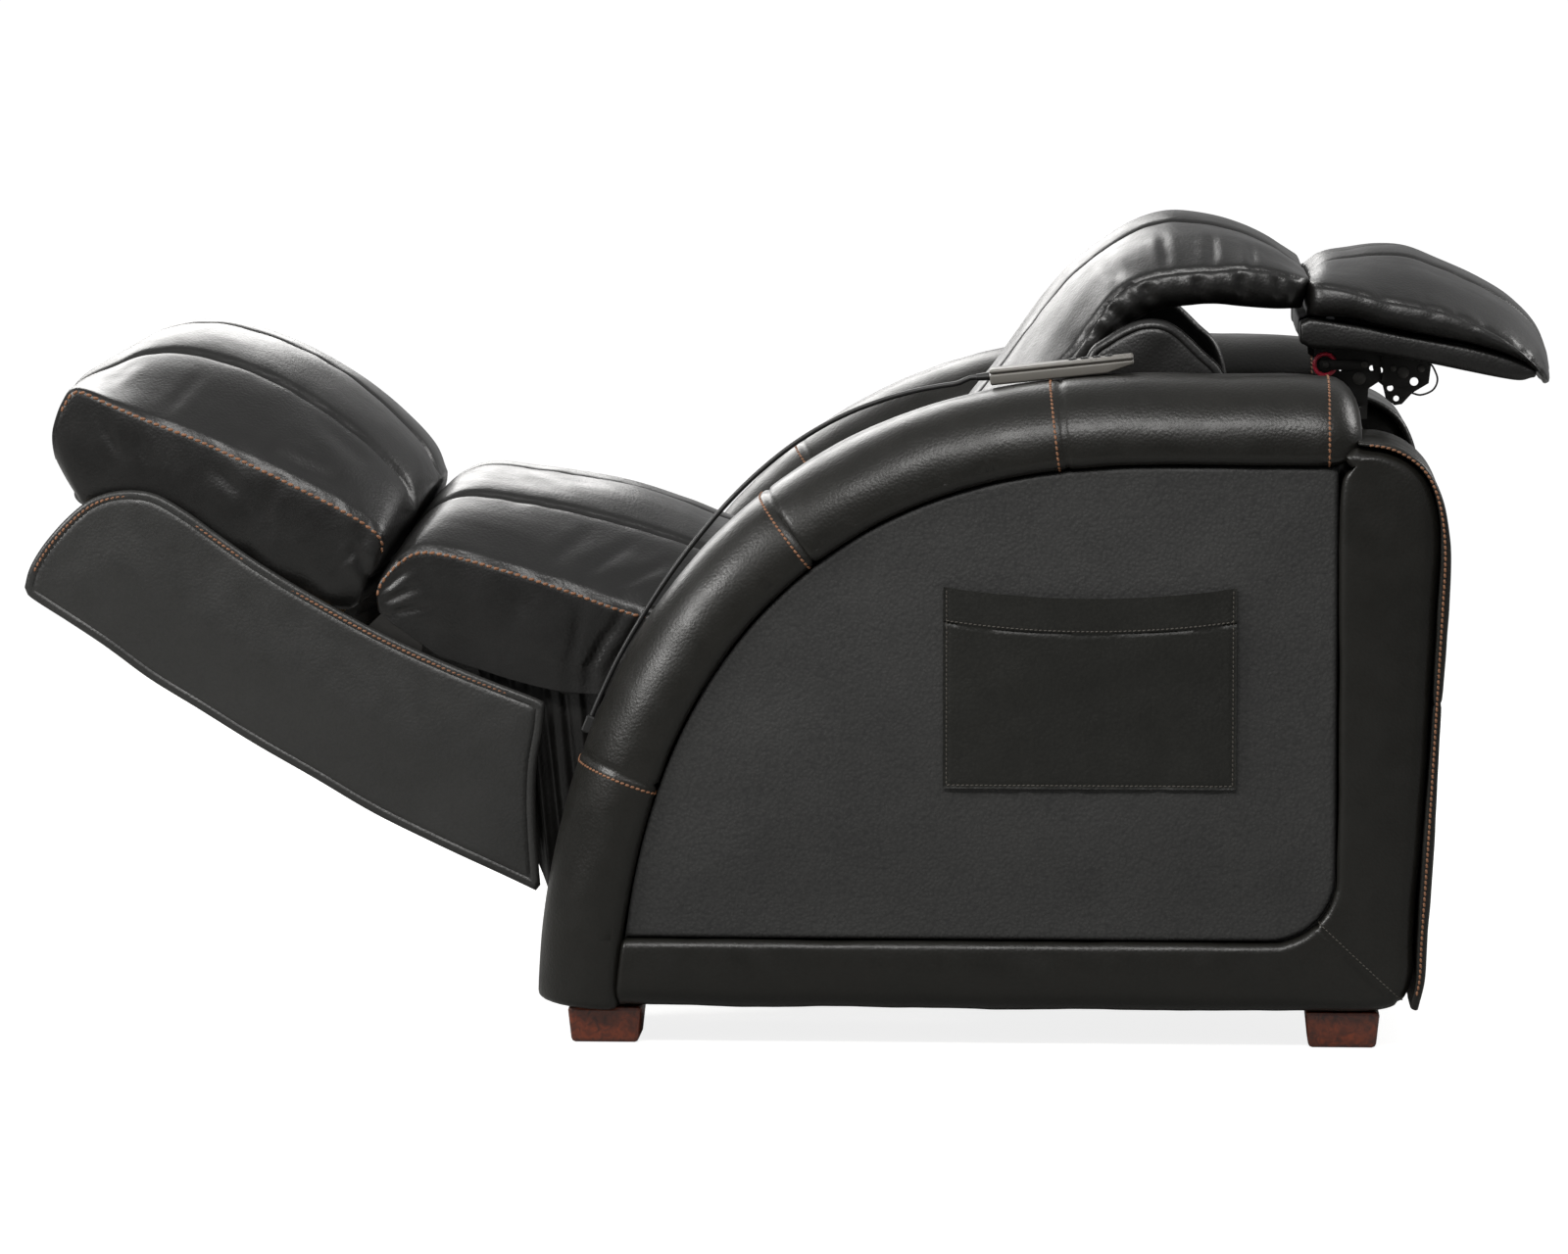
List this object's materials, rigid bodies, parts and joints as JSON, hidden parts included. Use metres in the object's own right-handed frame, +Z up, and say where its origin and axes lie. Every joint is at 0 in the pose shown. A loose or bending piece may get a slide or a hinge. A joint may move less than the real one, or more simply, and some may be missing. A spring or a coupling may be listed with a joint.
{
  "type": "power recliner",
  "caption": "Padded leather lounge chair with a powered back, tilting headrest and rising leg rest, rounded arms, a side pocket and a corded button handset.",
  "frame": {"origin": "on the floor, under the middle of the reclined chair's overall box", "axes": "+Z up, -Y the way the sitter faces, +X towards the sitter's left arm"},
  "size_m": [0.968, 1.633, 0.855],
  "materials": {
    "arm_core_left": "semi-gloss black",
    "arm_core_right": "semi-gloss black",
    "arm_panel_left": "matt pebbled vinyl",
    "arm_panel_right": "matt pebbled vinyl",
    "arm_roll_left": "semi-gloss black",
    "arm_roll_right": "semi-gloss black",
    "back_board": "semi-gloss black",
    "back_bolster_left": "semi-gloss black",
    "back_bolster_right": "semi-gloss black",
    "back_cushion": "semi-gloss black",
    "back_drive_block": "matt black",
    "back_drive_motor": "matt black",
    "back_drive_rail": "zinc plated",
    "back_frame": "black steel tube",
    "cord_socket": "matt black",
    "drive_motor": "matt black",
    "drive_rail": "zinc plated",
    "foot_cushion": "semi-gloss black",
    "foot_front_left": "brown stained and lacquered",
    "foot_front_right": "brown stained and lacquered",
    "foot_rear_left": "brown stained and lacquered",
    "foot_rear_right": "brown stained and lacquered",
    "front_cross_rail": "bare plywood",
    "handset_button_1": "matt black",
    "handset_button_2": "matt black",
    "handset_button_3": "matt black",
    "handset_button_4": "matt black",
    "handset_cord": "black sheath",
    "handset_gland": "matt black",
    "handset_lower": "fine-textured grey",
    "handset_upper": "fine-textured grey",
    "headrest_board": "semi-gloss black",
    "headrest_bracket_left": "black steel plate",
    "headrest_bracket_right": "black steel plate",
    "headrest_cushion": "semi-gloss black",
    "headrest_hinge_plate_left": "black steel plate",
    "headrest_hinge_plate_right": "black steel plate",
    "headrest_motor": "matt black",
    "headrest_ring": "red",
    "headrest_shaft": "zinc plated",
    "leg_rest_board": "bare plywood",
    "leg_rest_frame": "black steel",
    "leg_rest_side_left": "semi-gloss black",
    "leg_rest_side_right": "semi-gloss black",
    "leg_rest_skin": "semi-gloss black",
    "power_inlet": "matt black",
    "rear_cover": "semi-gloss black",
    "rear_cross_rail": "bare plywood",
    "rear_post_left": "semi-gloss black",
    "rear_post_right": "semi-gloss black",
    "runner_rail_left": "black steel",
    "runner_rail_right": "black steel",
    "seat_carriage": "black steel",
    "seat_cushion": "semi-gloss black",
    "seat_deck": "bare plywood",
    "seat_side_plate_left": "black steel plate",
    "seat_side_plate_right": "black steel plate",
    "side_pocket": "matt pebbled vinyl",
    "side_rail_left": "semi-gloss black",
    "side_rail_right": "semi-gloss black"
  },
  "bodies": {
    "base": {"foot_front_left": "foot_front_left", "foot_front_right": "foot_front_right", "foot_rear_left": "foot_rear_left", "foot_rear_right": "foot_rear_right", "front_cross_rail": "front_cross_rail", "rear_cross_rail": "rear_cross_rail", "runner_rail_left": "runner_rail_left", "runner_rail_right": "runner_rail_right", "drive_rail": "drive_rail", "drive_motor": "drive_motor", "rear_cover": "rear_cover", "power_inlet": "power_inlet", "arm_roll_left": "arm_roll_left", "arm_roll_right": "arm_roll_right", "arm_core_left": "arm_core_left", "arm_core_right": "arm_core_right", "arm_panel_left": "arm_panel_left", "arm_panel_right": "arm_panel_right", "side_rail_left": "side_rail_left", "side_rail_right": "side_rail_right", "rear_post_left": "rear_post_left", "rear_post_right": "rear_post_right", "side_pocket": "side_pocket", "handset_lower": "handset_lower", "handset_upper": "handset_upper", "handset_gland": "handset_gland", "handset_cord": "handset_cord", "cord_socket": "cord_socket"},
    "seat": {"seat_side_plate_left": "seat_side_plate_left", "seat_side_plate_right": "seat_side_plate_right", "seat_carriage": "seat_carriage", "seat_deck": "seat_deck", "back_drive_rail": "back_drive_rail", "back_drive_motor": "back_drive_motor", "seat_cushion": "seat_cushion"},
    "leg_rest": {"leg_rest_side_left": "leg_rest_side_left", "leg_rest_side_right": "leg_rest_side_right", "leg_rest_frame": "leg_rest_frame", "leg_rest_board": "leg_rest_board", "leg_rest_skin": "leg_rest_skin", "foot_cushion": "foot_cushion"},
    "back": {"back_frame": "back_frame", "back_board": "back_board", "back_bolster_left": "back_bolster_left", "back_bolster_right": "back_bolster_right", "back_cushion": "back_cushion", "headrest_bracket_left": "headrest_bracket_left", "headrest_bracket_right": "headrest_bracket_right", "headrest_ring": "headrest_ring", "headrest_motor": "headrest_motor"},
    "headrest": {"headrest_board": "headrest_board", "headrest_hinge_plate_left": "headrest_hinge_plate_left", "headrest_hinge_plate_right": "headrest_hinge_plate_right", "headrest_shaft": "headrest_shaft", "headrest_cushion": "headrest_cushion"},
    "back_drive": {"back_drive_block": "back_drive_block"},
    "button_1": {"handset_button_1": "handset_button_1"},
    "button_2": {"handset_button_2": "handset_button_2"},
    "button_3": {"handset_button_3": "handset_button_3"},
    "button_4": {"handset_button_4": "handset_button_4"}
  },
  "joints": [
    {"name": "seat_slide", "type": "slide", "parent": "base", "child": "seat", "axis": [0, 1, 0], "range_m": [0, 0.2]},
    {"name": "leg_rest_fold", "type": "hinge", "parent": "seat", "child": "leg_rest", "pos_m": [0, -0.3965, 0.455], "axis": [1, 0, 0], "range_deg": [0, 80]},
    {"name": "back_recline", "type": "hinge", "parent": "seat", "child": "back", "pos_m": [0, 0.2485, 0.45], "axis": [1, 0, 0], "range_deg": [0, 50]},
    {"name": "headrest_tilt", "type": "hinge", "parent": "back", "child": "headrest", "pos_m": [0, 0.5785, 0.742], "axis": [1, 0, 0], "range_deg": [0, 45]},
    {"name": "back_drive_slide", "type": "slide", "parent": "seat", "child": "back_drive", "axis": [0, 1, 0], "range_m": [0, 0.1]},
    {"name": "button_1_press", "type": "slide", "parent": "base", "child": "button_1", "axis": [0, 0.104, -0.9946], "range_m": [0, 0.001], "stiffness_N_per_m": 400},
    {"name": "button_2_press", "type": "slide", "parent": "base", "child": "button_2", "axis": [0, 0.104, -0.9946], "range_m": [0, 0.001], "stiffness_N_per_m": 400},
    {"name": "button_3_press", "type": "slide", "parent": "base", "child": "button_3", "axis": [0, 0.104, -0.9946], "range_m": [0, 0.001], "stiffness_N_per_m": 400},
    {"name": "button_4_press", "type": "slide", "parent": "base", "child": "button_4", "axis": [0, 0.104, -0.9946], "range_m": [0, 0.001], "stiffness_N_per_m": 400}
  ],
  "couplings": [
    {"joint": "leg_rest_fold", "follows": "seat_slide", "rad_per_m": 6.981},
    {"joint": "back_drive_slide", "follows": "back_recline", "m_per_rad": 0.0917}
  ]
}
